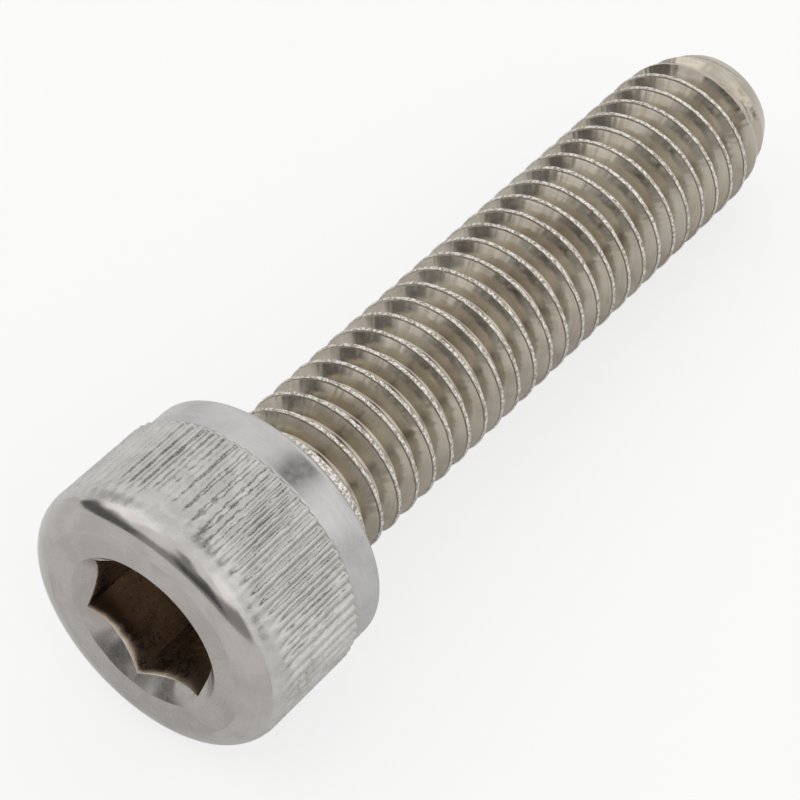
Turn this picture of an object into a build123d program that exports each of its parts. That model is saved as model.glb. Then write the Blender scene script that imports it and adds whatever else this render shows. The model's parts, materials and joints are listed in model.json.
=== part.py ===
from build123d import *
import os
from math import acos, atan2, cos, degrees, hypot, radians, sin, tan

# A hexagon socket head cap screw, M8 x 35 and threaded up to its head. Millimetres.
# It lies at rest on a level floor at z = 0, on the rear edge of its knurl and on the end of its
# thread, with its head towards -X. The origin is the centre of its footprint on the floor.
# Places along the screw are counted from the bearing face under the head, towards the tip.

# Shank: a cylinder over the crests of the M8 x 1.25 thread
shank_diameter = 7.84
shank_length = 35.0
underhead_radius = 0.4
tip_diameter = 5.9
tip_round_length = 3.8

# Head
head_diameter = 13.0
head_height = 8.0
face_edge_radius = 1.35

# Collar: the plain band between the knurl and the bearing face
collar_width = 1.95
collar_step = 0.22
collar_edge_radius = 0.4

# Knurl: straight V grooves that leave a land on each ridge
knurl_ridges = 70
knurl_depth = 0.17
knurl_land = 0.25

# Socket
socket_across_flats = 6.05
socket_depth = 4.6
socket_turn = 10.3
mouth_margin = 0.36
mouth_angle = 90.0
floor_angle = 150.0
floor_land = 0.1

head_radius = head_diameter / 2
collar_radius = head_radius - collar_step
shank_radius = shank_diameter / 2
tip_radius = tip_diameter / 2

# The tip's round is an arc that leaves the crests without a corner.
tip_drop = shank_radius - tip_radius
tip_round_radius = (tip_round_length**2 + tip_drop**2) / (2 * tip_drop)
tip_round_start = shank_length - tip_round_length

# Knurl
groove_width = 2 * head_radius * sin(radians(180 / knurl_ridges)) - knurl_land
groove_slope = groove_width / 2 / knurl_depth

# Rest: the floor passes through the knurl's rear edge and touches the tip's round.
rise = head_radius - shank_radius + tip_round_radius
run = tip_round_start + collar_width
tilt = acos(tip_round_radius / hypot(rise, run)) - atan2(run, rise)
bearing_height = head_radius * cos(tilt) - collar_width * sin(tilt)

# The screw's two ends on the X axis, counted from the centre of the bearing face
tip_end = shank_length * cos(tilt) + tip_radius * sin(tilt)
head_end = face_edge_radius + (head_height - face_edge_radius) * cos(tilt)
head_end += (head_radius - face_edge_radius) * sin(tilt)
bearing_centre = ((head_end - tip_end) / 2, 0, bearing_height)

# across stands square to the screw on the bearing face; along holds its axis and points up.
across = Plane(bearing_centre, x_dir=(sin(tilt), 0, cos(tilt)), z_dir=(cos(tilt), 0, -sin(tilt)))
along = Plane(bearing_centre, x_dir=across.z_dir, z_dir=(0, -1, 0))
screw_axis = Axis(bearing_centre, across.z_dir)

# Socket, counted from the head's face
flat_radius = socket_across_flats / 2
mouth_radius = flat_radius / cos(radians(30)) + mouth_margin
mouth_depth = (mouth_radius - flat_radius) / tan(radians(mouth_angle / 2))
floor_radius = flat_radius - floor_land
floor_depth = floor_radius / tan(radians(floor_angle / 2))
face = -head_height
hexagon_end = face + socket_depth

with BuildPart() as cap_screw:
    # Turned outline of head and shank
    with BuildSketch(along):
        with BuildLine():
            rim = FilletPolyline(
                (face, 0),
                (face, head_radius),
                (-collar_width, head_radius),
                (-collar_width, collar_radius),
                (0, collar_radius),
                (0, shank_radius),
                (tip_round_start, shank_radius),
                radius=(face_edge_radius, 0, 0, collar_edge_radius, underhead_radius),
            )
            tip_round = TangentArc(rim @ 1, (shank_length, tip_radius), tangent=(1, 0))
            Polyline(tip_round @ 1, (shank_length, 0), rim @ 0)
        make_face()
    revolve(axis=screw_axis)

    # Knurl grooves, turned half a pitch so that the screw lies on a ridge
    with BuildSketch(across.offset(-collar_width)):
        with PolarLocations(head_radius, knurl_ridges, start_angle=180 / knurl_ridges):
            Polygon(
                (-knurl_depth, 0),
                (knurl_depth, -2 * knurl_depth * groove_slope),
                (knurl_depth, 2 * knurl_depth * groove_slope),
                align=None,
            )
    extrude(amount=collar_width - head_height, mode=Mode.SUBTRACT)

    # Hexagon socket, open at the head's face
    with BuildSketch(across.offset(face)):
        RegularPolygon(flat_radius, side_count=6, major_radius=False, rotation=socket_turn)
    extrude(amount=socket_depth, mode=Mode.SUBTRACT)

    # The socket's conical mouth and floor
    with BuildSketch(along):
        Polygon(
            (face, 0),
            (face, mouth_radius),
            (face + mouth_depth, flat_radius),
            (hexagon_end, flat_radius - floor_land),
            (hexagon_end + floor_depth, 0),
            align=None,
        )
    revolve(axis=screw_axis, mode=Mode.SUBTRACT)

cap_screw.part.label = "cap_screw"

os.makedirs("parts", exist_ok=True)
export_step(cap_screw.part, "parts/cap_screw.step")

box = cap_screw.part.bounding_box()
print(f"tilt {degrees(tilt):.3f} deg, box {box.size.X:.3f} x {box.size.Y:.3f} x {box.size.Z:.3f} mm")
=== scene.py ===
import json
from math import asin, ceil, cos, degrees, pi, radians, sin, sqrt

import bpy
from mathutils import Matrix, Vector, noise


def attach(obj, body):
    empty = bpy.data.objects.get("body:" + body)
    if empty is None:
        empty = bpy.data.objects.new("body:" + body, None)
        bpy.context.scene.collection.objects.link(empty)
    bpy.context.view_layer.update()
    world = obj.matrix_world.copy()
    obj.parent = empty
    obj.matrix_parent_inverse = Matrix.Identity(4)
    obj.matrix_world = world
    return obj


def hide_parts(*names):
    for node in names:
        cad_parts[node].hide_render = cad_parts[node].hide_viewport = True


# A stainless hexagon socket head cap screw, M8 x 35, lying on a pale floor.
# The mesh is built in the screw's own axes, in millimetres: X runs along the screw from the centre
# of the bearing face under the head towards the tip, and Z points up. Turns go about X, from the
# top towards the camera's side.

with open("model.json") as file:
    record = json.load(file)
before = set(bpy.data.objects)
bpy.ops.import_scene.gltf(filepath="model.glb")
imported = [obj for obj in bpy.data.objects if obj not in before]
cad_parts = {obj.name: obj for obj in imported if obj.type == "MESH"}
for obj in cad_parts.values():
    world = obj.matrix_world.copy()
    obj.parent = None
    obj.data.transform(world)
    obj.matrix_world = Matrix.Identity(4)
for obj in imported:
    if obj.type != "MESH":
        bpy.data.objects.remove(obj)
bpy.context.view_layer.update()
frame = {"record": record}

# ---------------------------------------------------------------- sizes, millimetres

# Thread M8 x 1.25
pitch = 1.25
crest_radius = 3.92
first_crest = 0.231
tip_length = 35.0
tip_round = 3.8
tip_radius = 2.95
underhead_radius = 0.4
# Half of one turn's profile: distance from the middle of the crest, depth below it, and the share
# of a chip that moves it. The flat flank lies between the fourth point and the fifth, and two
# flanks meet at 60 degrees.
profile = [
    (0.0, 0.015, 0.0), (0.03, 0.0, 0.2), (0.065, 0.01, 0.7), (0.08, 0.02, 1.0),
    (0.50, 0.747, 0.0), (0.515, 0.768, 0.0), (0.55, 0.785, 0.0), (0.625, 0.79, 0.0),
]
flank_slope = sqrt(3)
chip_depth = 0.045
chip_sizes = (0.28, 0.13)
raw_depth = 0.03
raw_size = 0.25
noise_radius = 4   # where the thread's noise is read, so that it runs on down the flanks
# Turns from the first crest over which the groove grows to its full depth
groove_start = 0.3
groove_full = 0.85
# The end face: radius, and place along the screw from the tip
end_rows = [(2.86, 0.0), (2.5, -0.07), (1.4, -0.11), (0.0, -0.12)]
end_grain = 0.02
fillet_rows = 5

# Head
head_radius = 6.5
head_height = 8.0
edge_radius = 1.35
collar_radius = 6.28
collar_width = 1.95
collar_round = 0.4
knurl_ridges = 70
knurl_depth = 0.17
knurl_turn = 4.14
knurl_chamfer = 0.07
# From the middle of one ridge to the next is 1: the groove's wall runs between these
land_edge = 0.08
groove_edge = 0.45
# Wear: how deep the grain is, and what is left of the grooves where they are most worn and
# where they run out into the round edge
grain_depth = 0.042
least_groove = 0.1
edge_groove = 0.12

# Socket
across_flats = 6.05
socket_turn = 10.33
socket_depth = 4.6
mouth_margin = 0.36
# Down the mouth: the share of the way to the hexagon, and how far the row is pushed in
mouth_rows = [
    (0.0, 0.01), (0.05, 0.0), (0.84, 0.0), (0.86, -0.008), (0.88, -0.008), (0.90, 0.0), (1.0, 0.01),
]
mouth_throat = 0.90
throat_slope = 5.0
wall_rows = [1.5, 2.4, 3.4, 4.2, socket_depth]
wall_grain = 0.004
# The socket's floor: radius, and depth below the walls
floor_rows = [(2.6, 0.1), (1.3, 0.45), (0.0, 0.8)]

# Steps round the screw, and rows along it
thread_steps = 216
knurl_steps = 840
socket_steps = 168
collar_rows = 6
knurl_rows = 50
edge_rows = 16

MM = 0.001
MICROMETRE = 0.000001
WHOLE = 2 * pi
QUARTER = pi / 2
SHARP_ANGLE = 50
PER_RADIAN = 180 / pi
WHITE = (1.0, 1.0, 1.0, 1.0)


# ---------------------------------------------------------------- the screw's place in the frame

mounts = {m["name"]: m for m in frame["record"]["mounts"]}
axis = Vector(mounts["shank"]["axis"])
tilt = asin(-axis.z)
origin = Vector(mounts["key_socket"]["pos_m"]) + axis * head_height * MM
stand = Matrix.Translation(origin) @ Matrix.Rotation(tilt, 4, "Y")


# ---------------------------------------------------------------- mesh helpers

def smooth(low, high, x):
    """0 below low, 1 above high, and a smooth step between them."""
    t = min(1.0, max(0.0, (x - low) / (high - low)))
    return t * t * (3 - 2 * t)


def at(s, radius, turn):
    """A point at s along the screw, at a radius and a turn in radians."""
    return Vector((s, -radius * sin(turn), radius * cos(turn)))


def rough(s, radius, turn, size, seed=0.0):
    """Smooth noise from -1 to 1 over the screw's surface, with lumps of about that size."""
    return noise.noise(at(s, radius, turn) / size + Vector((seed, seed, seed)))


class Shell:
    """Vertices and faces of one piece, with a material for each face."""

    def __init__(self):
        self.points, self.faces, self.paint = [], [], []

    def ring(self, steps, place, first_turn=0.0):
        """Adds one ring of vertices; place(turn) gives each one's point."""
        start = len(self.points)
        self.points += [place(first_turn + WHOLE * i / steps) for i in range(steps)]
        return list(range(start, start + steps))

    def face(self, corners, material):
        self.faces.append(corners)
        self.paint.append(material)

    def join(self, back, front, material):
        """Faces between two rings, where one may have a whole number of times more vertices."""
        if len(back) < len(front):
            wide, narrow, flip = front, back, True
        else:
            wide, narrow, flip = back, front, False
        n, per = len(narrow), len(wide) // len(narrow)
        for i in range(n):
            a, b = narrow[i], narrow[(i + 1) % n]
            edge = [wide[(per * i + k) % len(wide)] for k in range(per + 1)]
            if per == 1:
                self.face([edge[0], edge[1], b, a][:: -1 if flip else 1], material)
                continue
            half = per // 2
            for k in range(per):
                tip = a if k <= half else b
                self.face([edge[k], edge[k + 1], tip][:: -1 if flip else 1], material)
                if k == half:
                    self.face([edge[k + 1], b, a][:: -1 if flip else 1], material)

    def fan(self, ring, point, material, flip=False):
        """Closes a ring with triangles to one point."""
        tip = len(self.points)
        self.points.append(Vector(point))
        for i, a in enumerate(ring):
            b = ring[(i + 1) % len(ring)]
            self.face([a, b, tip][:: -1 if flip else 1], material)

    def build(self, name, materials):
        """The piece as an object, laid in its place in the frame."""
        mesh = bpy.data.meshes.new(name)
        mesh.from_pydata([p * MM for p in self.points], [], self.faces)
        for m in materials:
            mesh.materials.append(m)
        mesh.polygons.foreach_set("material_index", self.paint)
        mesh.validate()
        mesh.shade_smooth()
        mesh.set_sharp_from_angle(angle=radians(SHARP_ANGLE))
        mesh.transform(stand)
        obj = bpy.data.objects.new(name, mesh)
        bpy.context.scene.collection.objects.link(obj)
        # Flat flanks and walls keep their own normals beside small rounded edges.
        flats = obj.modifiers.new("flats", "WEIGHTED_NORMAL")
        flats.keep_sharp = True
        flats.weight = 100
        return obj


# ---------------------------------------------------------------- shank and thread

def tip_envelope(s):
    """The tip's round: an arc that leaves the crests without a corner."""
    drop = crest_radius - tip_radius
    arc = (tip_round**2 + drop**2) / (2 * drop)
    over = max(0.0, s - (tip_length - tip_round))
    return crest_radius - arc + sqrt(arc**2 - over**2)


def build_shank():
    shell = Shell()
    rolled, cut_face = range(2)
    rows = [(-x, *rest) for x, *rest in reversed(profile[1:])] + profile[:-1]
    start, end = underhead_radius, tip_length
    merged, grid = {}, []
    for k in range(-1, ceil((end - start) / pitch) + 2):
        for offset, depth, share in rows:
            side = 1 if offset > 0 else -1
            line = []
            for i in range(thread_steps + 1):
                turn = WHOLE * i / thread_steps
                crest_s = first_crest + pitch * (k + i / thread_steps)
                # The groove fades in along its helix, which leaves a raw land under the head.
                grown = smooth(groove_start, groove_full, k - (offset < 0) + i / thread_steps)
                chip = sum(rough(crest_s, noise_radius, turn, size, seed * side)
                           for size, seed in zip(chip_sizes, (1, 7)))
                chip = chip_depth * max(0.0, chip + 0.3) * share
                s = min(end, max(start, crest_s + offset + side * chip))
                key = (k, offset, i) if i < thread_steps else (k + 1, offset, 0)
                if s in (start, end):
                    key = (s, i % thread_steps)
                if key not in merged:
                    merged[key] = len(shell.points)
                    raw = raw_depth * (1 + rough(s, noise_radius, turn, raw_size, 3))
                    cut = (depth + flank_slope * chip) * grown + raw * (1 - grown)
                    radius = min(crest_radius - cut, tip_envelope(s) - 0.004)
                    shell.points.append(at(s, radius, turn))
                line.append(merged[key])
            grid.append(line)
    for low, high in zip(grid, grid[1:]):
        for i in range(thread_steps):
            corners = list(dict.fromkeys((low[i], low[i + 1], high[i + 1], high[i])))
            if len(corners) > 2:
                shell.face(corners, rolled)
    # The fillet under the head, out to the bearing face
    previous = [merged[(start, i)] for i in range(thread_steps)]
    for step in range(1, fillet_rows + 1):
        turned = QUARTER * step / fillet_rows
        s = underhead_radius * (1 - sin(turned))
        radius = crest_radius + underhead_radius * (1 - cos(turned))
        ring = shell.ring(thread_steps, lambda turn: at(s, radius, turn))
        shell.join(ring, previous, rolled)
        previous = ring
    # The end face, slightly hollow as a cut and rolled blank is
    previous = [merged[(end, i)] for i in range(thread_steps)]
    for radius, off in end_rows[:-1]:
        s = end + off
        steps = thread_steps if radius > 2.4 else thread_steps // 4
        ring = shell.ring(steps, lambda turn: at(
            s + end_grain * rough(s, radius, turn, 0.8, 5), radius, turn))
        shell.join(previous, ring, cut_face)
        previous = ring
    shell.fan(previous, (end + end_rows[-1][1], 0, 0), cut_face)
    return shell


# ---------------------------------------------------------------- head and socket

def knurl(s, turn):
    """Depth of the knurl's groove below the ridges, with worn, grainy ridges."""
    def lumps(size, seed):
        return rough(s, head_radius, turn, size, seed)

    # The ridges run evenly on the far side, and wander and wear on the camera's.
    side = (degrees(turn) + 180) % 360 - 180
    uneven = 0.3 + 0.7 * smooth(-30, -5, side)
    wander = uneven * (0.04 * lumps(3.0, 2) + 0.02 * lumps(0.3, 9))
    place = (degrees(turn) - knurl_turn) * knurl_ridges / 360 + wander
    off = abs(place - round(place))
    groove = smooth(land_edge + 0.07 * uneven * lumps(0.5, 4), groove_edge, off)
    # A band along the top is pressed nearly flat, most of all towards the face.
    band = smooth(-16, -4, side) * (1 - smooth(14, 28, side))
    pressed = 1 - band * (0.85 - 0.45 * smooth(-6.6, -3.6, s))
    left = max(least_groove, pressed * (0.9 + 0.4 * uneven * lumps(1.8, 6)))
    grain = lumps(0.26, 8) + 0.7 * lumps(0.12, 14)
    return knurl_depth * groove * left + grain_depth * uneven * max(0.0, grain + 0.1)


def hexagon(turn):
    """Radius of the socket's wall at a turn."""
    sixth = pi / 3
    off = (turn - radians(socket_turn)) % sixth - sixth / 2
    return across_flats / 2 / cos(off)


def build_head():
    shell = Shell()
    satin, ground, knurled, bore, polished = range(5)
    face_s = -head_height
    turn_0 = radians(socket_turn)

    def lay(s, radius, steps, share=0.0, inward=(0.0, -1.0)):
        """A ring with a share of the knurl's depth cut inward, given as (along, radial)."""
        def place(turn):
            cut = share * knurl(s, turn) if share else 0.0
            return at(s + inward[0] * cut, radius + inward[1] * cut, turn)
        return shell.ring(steps, place, turn_0)

    # Bearing face, collar and the step up to the knurl
    previous = lay(0.0, crest_radius + underhead_radius, socket_steps)
    outline = [(0.0, 5.0), (0.0, collar_radius - collar_round - 0.02)]
    for step in range(collar_rows + 1):
        turned = QUARTER * step / collar_rows
        outline.append((-collar_round * (1 - cos(turned)),
                        collar_radius - collar_round * (1 - sin(turned))))
    for s, radius in outline:
        ring = lay(s, radius, 2 * socket_steps if radius > 5.5 else socket_steps)
        shell.join(ring, previous, ground)
        previous = ring
    for s in (-0.8, -1.2, 0.17 - collar_width):
        ring = lay(s, collar_radius, 2 * socket_steps)
        shell.join(ring, previous, ground)
        previous = ring
    for s, radius, steps in ((0.12, 0.0, socket_steps), (0.04, -0.09, knurl_steps)):
        ring = lay(s - collar_width, collar_radius + radius, steps)
        shell.join(ring, previous, ground)
        previous = ring

    # Knurl, then the round edge of the face, which the knurl fades into
    edge_start = edge_radius - head_height
    knurl_start = -collar_width - knurl_chamfer
    rows = [(-collar_width, head_radius - 0.05, 1.0), (knurl_start, head_radius, 1.0)]
    for step in range(1, knurl_rows + 1):
        s = knurl_start + (edge_start - knurl_start) * step / knurl_rows
        rows.append((s, head_radius, edge_groove + (1 - edge_groove) * smooth(-6.85, -5.7, s)))
    for s, radius, share in rows:
        ring = lay(s, radius, knurl_steps, share)
        shell.join(ring, previous, knurled)
        previous = ring
    for step in range(1, edge_rows + 1):
        turned = QUARTER * step / edge_rows
        s = edge_start - edge_radius * sin(turned)
        radius = head_radius - edge_radius * (1 - cos(turned))
        share = edge_groove * (1 - smooth(0.1, 0.5, turned))
        ring = lay(s, radius, knurl_steps, share, (sin(turned), -cos(turned)))
        shell.join(ring, previous, knurled if turned < 0.5 else polished)
        previous = ring

    # The face in to the socket's mouth
    mouth_radius = across_flats / 2 / cos(radians(30)) + mouth_margin
    for radius in (5.05, 4.7, 4.3, mouth_radius + 0.07):
        ring = lay(face_s, radius, socket_steps)
        shell.join(ring, previous, satin)
        previous = ring

    # Conical mouth down to the hexagon, with a fine rolled lip, then the walls and the floor
    def mouth(part, lip):
        def place(turn):
            wide = mouth_radius - hexagon(turn)
            steep = throat_slope * wide * max(0.0, part - mouth_throat)
            dip = wide * part + steep + lip * (1 + rough(part, 4, turn, 0.5, 20))
            return at(face_s + dip, mouth_radius - wide * part, turn)
        return place

    for part, lip in mouth_rows:
        ring = shell.ring(socket_steps, mouth(part, lip), turn_0)
        # Past the throat the steep band takes the bore's darker brown steel: a painted dark
        # reflection on the mouth.
        shell.join(ring, previous, satin if part <= mouth_throat else bore)
        previous = ring
    for deep in wall_rows:
        ring = shell.ring(socket_steps, lambda turn: at(
            face_s + deep + wall_grain * rough(deep, 3, turn, 0.5), hexagon(turn), turn), turn_0)
        shell.join(ring, previous, bore)
        previous = ring
    for radius, deep in floor_rows[:-1]:
        ring = shell.ring(socket_steps, lambda turn: at(
            face_s + socket_depth + deep, radius, turn), turn_0)
        shell.join(ring, previous, bore)
        previous = ring
    shell.fan(previous, (face_s + socket_depth + floor_rows[-1][1], 0, 0), bore, flip=True)
    return shell


# ---------------------------------------------------------------- materials

class Nodes:
    """Adds shader nodes to a tree and links their inputs."""

    def __init__(self, tree):
        self.tree = tree
        tree.nodes.clear()

    def add(self, kind, inputs=None, out=0, **settings):
        """Adds a node and gives one of its outputs, or the node itself where it has none."""
        node = self.tree.nodes.new(kind)
        for name, value in settings.items():
            setattr(node, name, value)
        for name, value in (inputs or {}).items():
            if isinstance(value, bpy.types.NodeSocket):
                self.tree.links.new(value, node.inputs[name])
            else:
                node.inputs[name].default_value = value
        return node.outputs[out] if node.outputs else node

    def math(self, operation, a, b=0.0):
        return self.add("ShaderNodeMath", {0: a, 1: b}, operation=operation)

    def remap(self, value, low, high, to_low=0.0, to_high=1.0):
        return self.add("ShaderNodeMapRange", {
            "Value": value, "From Min": low, "From Max": high, "To Min": to_low, "To Max": to_high,
        }, interpolation_type="SMOOTHSTEP")

    def mix(self, factor, a, b):
        return self.add("ShaderNodeMix", {0: factor, 6: a, 7: b}, out=2, data_type="RGBA")

    def grain(self, place, stretch, detail=3.0, roughness=0.6, warp=0.0):
        """Noise over the screw: stretch is how many lumps there are in a millimetre, per axis."""
        scaled = self.add("ShaderNodeVectorMath", {0: place, 1: [x / MM for x in stretch]},
                          operation="MULTIPLY")
        return self.add("ShaderNodeTexNoise", {
            "Vector": scaled, "Scale": 1.0, "Detail": detail, "Roughness": roughness,
            "Distortion": warp})


crest_grain = (6.5, 6.5, 6.5)
crest_grain_depth = 110.0
crest_roughness = 0.2


def steel(name, colour, dark, roughness, shine, lines, line_depth, grain, grain_depth, smudge,
          round_lines=False, crest=None):
    """Stainless steel with lines, grain and smudges.

    lines, grain and smudge are lumps in a millimetre, per axis, and depths are in micrometres.
    The smudges mix colour with dark and roughness with shine. round_lines turns the lines into
    rings about the
    screw, and crest is the colour of the raw, grainy crests of the thread, set far brighter than
    the steel:
    their real grain with painted glints.
    """
    material = bpy.data.materials.new(name)
    material.use_nodes = True
    n = Nodes(material.node_tree)
    place = n.add("ShaderNodeMapping", {
        "Vector": n.add("ShaderNodeTexCoord", out=3), "Location": origin,
        "Rotation": (0.0, tilt, 0.0)}, vector_type="TEXTURE")
    axes = n.add("ShaderNodeSeparateXYZ", {0: place}).node
    side, up = axes.outputs[1], axes.outputs[2]
    radius = n.math("SQRT", n.math("ADD", n.math("MULTIPLY", side, side),
                                   n.math("MULTIPLY", up, up)))
    if round_lines:
        lined = n.add("ShaderNodeCombineXYZ", {0: radius, 1: side, 2: up})
    else:
        lined = place
    streaks = n.grain(lined, lines, detail=4.0)
    specks = n.grain(place, grain)
    cloud = n.grain(place, smudge, roughness=0.5, warp=0.4)
    tone = n.math("ADD", n.math("MULTIPLY", cloud, 0.7), n.math("MULTIPLY", streaks, 0.3))
    base = n.mix(n.remap(tone, 0.36, 0.62), dark + (1.0,), colour + (1.0,))
    gloss = n.remap(n.math("ADD", n.math("MULTIPLY", cloud, 0.5), n.math("MULTIPLY", specks, 0.5)),
                    0.35, 0.65, shine, roughness)
    height = n.math("ADD", n.math("MULTIPLY", streaks, line_depth),
                    n.math("MULTIPLY", specks, grain_depth))
    if crest:
        on_crest = n.remap(radius, (crest_radius - 0.12) * MM, (crest_radius - 0.04) * MM)
        raw = n.grain(place, crest_grain, roughness=0.7)
        # The crests are speckled from the dark steel up to a near-white colour far above the
        # steel's: real raw grain with painted glints.
        crest_grain_and_glints = n.mix(n.remap(raw, 0.38, 0.60), dark + (1.0,), crest + (1.0,))
        base = n.mix(on_crest, base, crest_grain_and_glints)
        gloss = n.add("ShaderNodeMix", {0: on_crest, 2: gloss, 3: crest_roughness},
                      data_type="FLOAT")
        height = n.math("ADD", height, n.math("MULTIPLY", n.math("MULTIPLY", raw, on_crest),
                                              crest_grain_depth))
    bump = n.add("ShaderNodeBump", {"Strength": 1.0, "Distance": MICROMETRE, "Height": height})
    shader = n.add("ShaderNodeBsdfPrincipled", {
        "Base Color": base, "Metallic": 1.0, "Roughness": gloss, "Normal": bump})
    n.add("ShaderNodeOutputMaterial", {0: shader})
    return material


# The thread's near-white crest colour paints glints on its raw crests.
thread_steel = steel(
    "thread_steel", colour=(0.52, 0.48, 0.41), dark=(0.41, 0.365, 0.30),
    roughness=0.26, shine=0.19, lines=(16.0, 0.5, 0.5), line_depth=0.8,
    grain=(5.0, 5.0, 5.0), grain_depth=1.5, smudge=(0.35, 0.5, 0.5), crest=(0.92, 0.90, 0.88))
face_steel = steel(
    "face_steel", colour=(0.47, 0.45, 0.43), dark=(0.40, 0.38, 0.36),
    roughness=0.30, shine=0.22, lines=(14.0, 0.8, 0.8), line_depth=0.6,
    grain=(4.0, 4.0, 4.0), grain_depth=2.0, smudge=(0.5, 0.5, 0.5), round_lines=True)
edge_steel = steel(
    "edge_steel", colour=(0.50, 0.48, 0.46), dark=(0.43, 0.41, 0.39),
    roughness=0.17, shine=0.10, lines=(8.0, 0.8, 0.8), line_depth=0.6,
    grain=(3.0, 3.0, 3.0), grain_depth=1.2, smudge=(0.6, 0.6, 0.6), round_lines=True)
collar_steel = steel(
    "collar_steel", colour=(0.55, 0.545, 0.54), dark=(0.48, 0.475, 0.47),
    roughness=0.36, shine=0.26, lines=(8.0, 0.4, 0.4), line_depth=0.4,
    grain=(3.0, 3.0, 3.0), grain_depth=1.0, smudge=(0.7, 0.7, 0.7))
knurl_steel = steel(
    "knurl_steel", colour=(0.57, 0.565, 0.55), dark=(0.47, 0.46, 0.44),
    roughness=0.36, shine=0.24, lines=(3.0, 3.0, 3.0), line_depth=8.0,
    grain=(8.0, 8.0, 8.0), grain_depth=8.0, smudge=(0.8, 0.8, 0.8))
bore_steel = steel(
    "bore_steel", colour=(0.45, 0.375, 0.305), dark=(0.33, 0.265, 0.21),
    roughness=0.34, shine=0.20, lines=(0.5, 7.0, 7.0), line_depth=6.0,
    grain=(4.0, 4.0, 4.0), grain_depth=2.0, smudge=(0.5, 0.5, 0.5))


# ---------------------------------------------------------------- pieces

# Materials stand in the order of the indices in build_shank and build_head.
shank = build_shank().build("cap_screw_shank", [thread_steel, face_steel])
head = build_head().build("cap_screw_head", [
    face_steel, collar_steel, knurl_steel, bore_steel, edge_steel])
for piece in (shank, head):
    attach(piece, "root")
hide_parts("cap_screw")

# ---------------------------------------------------------------- floor

floor_size = 3.0
floor_colour = (0.9, 0.9, 0.9, 1.0)
camera_lift = 0.75
glossy_lift = 0.05

# The camera, and a little of the metal, see the floor lifted towards white.
floor_material = bpy.data.materials.new("floor_white")
floor_material.use_nodes = True
n = Nodes(floor_material.node_tree)
path = n.add("ShaderNodeLightPath").node
diffuse = n.add("ShaderNodeBsdfDiffuse", {"Color": floor_colour})
white = n.add("ShaderNodeEmission", {"Color": WHITE, "Strength": 1.0})
lift = n.math("ADD", n.math("MULTIPLY", path.outputs["Is Camera Ray"], camera_lift),
              n.math("MULTIPLY", path.outputs["Is Glossy Ray"], glossy_lift))
n.add("ShaderNodeOutputMaterial", {
    0: n.add("ShaderNodeMixShader", {0: lift, 1: diffuse, 2: white})})

floor_mesh = bpy.data.meshes.new("floor")
floor_mesh.from_pydata([(x * floor_size, y * floor_size, 0) for x, y in
                        ((-1, -1), (1, -1), (1, 1), (-1, 1))], [], [(0, 1, 2, 3)])
floor_mesh.materials.append(floor_material)
floor = bpy.data.objects.new("floor", floor_mesh)
bpy.context.scene.collection.objects.link(floor)

# ---------------------------------------------------------------- studio light

# The room is a pale tent. Each card is (bearing, elevation, half width, half height, soft edge,
# radiance): bearings are in degrees from -X towards -Y, where the camera stands.
tent = 1.02
tent_colour = (1.0, 0.99, 0.975, 1.0)
cards = [
    (-62, 42, 30, 20, 12, 1.45),
    (64, 40, 22, 18, 10, 1.4),
    (0, 6, 62, 20, 10, 0.40),
    (8, 20, 17, 13, 8, 0.10),
    (5, 38, 9, 14, 8, 0.30),
    (-28, 36, 13, 14, 8, 1.0),
    (-101, 26, 17, 19, 8, 0.45),
    (155, 57, 16, 18, 8, 0.05),
    (-55, 6, 26, 12, 8, 0.15),
    (126, 31, 12, 15, 6, 1.25),
    (99, 8, 14, 6, 4, 0.12),
]

world = bpy.data.worlds.new("studio")
world.use_nodes = True
bpy.context.scene.world = world
n = Nodes(world.node_tree)
parts = n.add("ShaderNodeSeparateXYZ", {0: n.add("ShaderNodeTexCoord")}).node
x, y, z = (parts.outputs[i] for i in range(3))
bearing = n.math("MULTIPLY", n.math("ARCTAN2", n.math("MULTIPLY", y, -1.0),
                                    n.math("MULTIPLY", x, -1.0)), PER_RADIAN)
elevation = n.math("MULTIPLY", n.math("ARCSINE", z), PER_RADIAN)
radiance = tent
for place_a, place_e, half_a, half_e, soft, level in cards:
    off_a = n.math("ABSOLUTE", n.math("SUBTRACT", bearing, place_a))
    off_e = n.math("ABSOLUTE", n.math("SUBTRACT", elevation, place_e))
    inside = n.math("MULTIPLY", n.remap(off_a, half_a + soft / 2, half_a - soft / 2),
                    n.remap(off_e, half_e + soft / 2, half_e - soft / 2))
    radiance = n.add("ShaderNodeMix", {0: inside, 2: radiance, 3: level}, data_type="FLOAT")
path = n.add("ShaderNodeLightPath").node
room = n.add("ShaderNodeBackground", {"Color": tent_colour, "Strength": radiance})
plain = n.add("ShaderNodeBackground", {"Color": WHITE, "Strength": 1.0})
n.add("ShaderNodeOutputWorld", {0: n.add(
    "ShaderNodeMixShader", {0: path.outputs["Is Camera Ray"], 1: room, 2: plain})})

# ---------------------------------------------------------------- camera

# The camera looks along the bearing, from +X towards +Y, and down by the elevation, in degrees.
view_bearing = 37.57
view_elevation = 50.45
view_distance = 120.32
view_aim = (-4.50, -0.33, 6.0)
lens = 122.625
sensor = 36.0

forward = Vector((cos(radians(view_elevation)) * cos(radians(view_bearing)),
                  cos(radians(view_elevation)) * sin(radians(view_bearing)),
                  -sin(radians(view_elevation))))
camera_data = bpy.data.cameras.new("camera")
camera_data.lens = lens
camera_data.sensor_width = sensor
camera_data.clip_start = 0.005
camera_data.clip_end = 20.0
camera = bpy.data.objects.new("camera", camera_data)
camera.location = (Vector(view_aim) - forward * view_distance) * MM
camera.rotation_euler = forward.to_track_quat("-Z", "Y").to_euler()
bpy.context.scene.collection.objects.link(camera)
bpy.context.scene.camera = camera

bpy.context.scene.view_settings.view_transform = "Standard"
